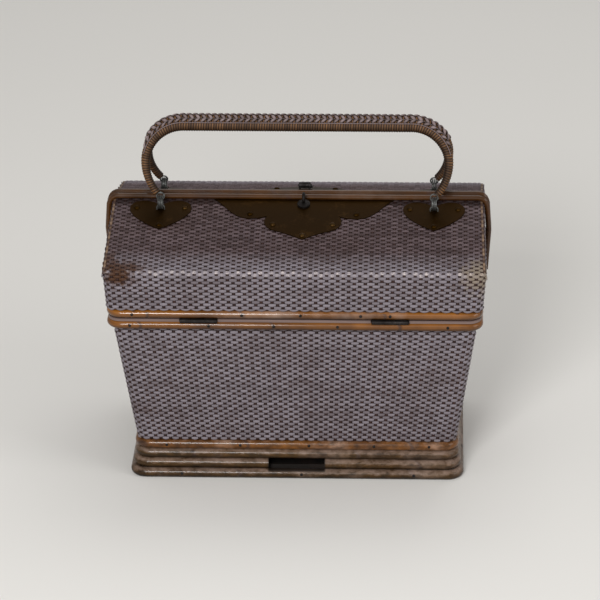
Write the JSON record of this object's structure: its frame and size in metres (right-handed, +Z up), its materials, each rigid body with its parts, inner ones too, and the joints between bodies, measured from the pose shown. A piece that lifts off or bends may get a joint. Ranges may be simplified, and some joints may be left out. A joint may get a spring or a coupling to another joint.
{
  "type": "woven cane handbag",
  "caption": "Rectangular woven cane handbag on a rod plinth, with half lids that open outwards, wrapped swing handles, brass plates and a hasp.",
  "frame": {"origin": "middle of the underside of the foot rod", "axes": "+Z up, +X to the right seen from the front, front towards -Y"},
  "size_m": [0.3088, 0.19, 0.2817],
  "materials": {
    "cane_weave": "aged split cane, satin",
    "cane_rod": "aged round cane, polished by use",
    "handle_cane": "dark cane wrap, satin",
    "brass_plate": "tarnished, satin",
    "dark_iron": "dark forged iron, satin"
  },
  "bodies": {
    "basket": {"body_weave": "cane_weave", "body_rim_rod": "cane_rod", "body_inner_rod": "cane_rod", "rim_strip": "cane_weave", "plinth_band": "cane_rod", "plinth_top_rod": "cane_rod", "plinth_upper_rod": "cane_rod", "plinth_slot_rod": "cane_rod", "plinth_foot_rod": "cane_rod", "front_left_hinge_body_leaf": "dark_iron", "front_left_hinge_pin": "dark_iron", "front_right_hinge_body_leaf": "dark_iron", "front_right_hinge_pin": "dark_iron", "rear_left_hinge_body_leaf": "dark_iron", "rear_left_hinge_pin": "dark_iron", "rear_right_hinge_body_leaf": "dark_iron", "rear_right_hinge_pin": "dark_iron"},
    "front_lid": {"front_left_hinge_lid_leaf": "dark_iron", "front_right_hinge_lid_leaf": "dark_iron", "front_lid_wall_weave": "cane_weave", "front_lid_roof_weave": "cane_weave", "front_lid_rim_rod": "cane_rod", "front_lid_edge_rod": "cane_rod", "front_lid_inner_rod": "cane_rod", "front_left_heart": "brass_plate", "front_right_heart": "brass_plate", "front_lock_plate": "brass_plate", "front_plate_nails": "brass_plate", "front_handle_staples": "dark_iron", "front_lock_staple": "dark_iron"},
    "rear_lid": {"rear_left_hinge_lid_leaf": "dark_iron", "rear_right_hinge_lid_leaf": "dark_iron", "rear_lid_wall_weave": "cane_weave", "rear_lid_roof_weave": "cane_weave", "rear_lid_rim_rod": "cane_rod", "rear_lid_edge_rod": "cane_rod", "rear_lid_inner_rod": "cane_rod", "rear_left_heart": "brass_plate", "rear_right_heart": "brass_plate", "rear_lock_plate": "brass_plate", "rear_plate_nails": "brass_plate", "rear_handle_staples": "dark_iron", "hasp_bracket": "dark_iron", "hasp_pin": "dark_iron"},
    "hasp": {"hasp_leaf": "dark_iron"},
    "front_handle": {"front_handle_core": "handle_cane", "front_handle_braid": "handle_cane", "front_handle_eyes": "dark_iron", "front_handle_rings": "dark_iron"},
    "rear_handle": {"rear_handle_core": "handle_cane", "rear_handle_braid": "handle_cane", "rear_handle_eyes": "dark_iron", "rear_handle_rings": "dark_iron"}
  },
  "joints": [
    {"name": "front_lid_hinge", "type": "hinge", "parent": "basket", "child": "front_lid", "pos_m": [0, -0.0925, 0.14529], "axis": [1, 0, 0], "range_deg": [0, 165]},
    {"name": "rear_lid_hinge", "type": "hinge", "parent": "basket", "child": "rear_lid", "pos_m": [0, 0.0925, 0.14529], "axis": [-1, 0, 0], "range_deg": [0, 165]},
    {"name": "front_handle_swing", "type": "hinge", "parent": "front_lid", "child": "front_handle", "pos_m": [0, -0.019, 0.21516], "axis": [1, 0, 0], "range_deg": [0, 115]},
    {"name": "rear_handle_swing", "type": "hinge", "parent": "rear_lid", "child": "rear_handle", "pos_m": [0, 0.019, 0.21516], "axis": [-1, 0, 0], "range_deg": [0, 115]},
    {"name": "hasp_swing", "type": "hinge", "parent": "rear_lid", "child": "hasp", "pos_m": [0.005, 0.012, 0.218], "axis": [1, 0, 0], "range_deg": [0, 205]}
  ]
}
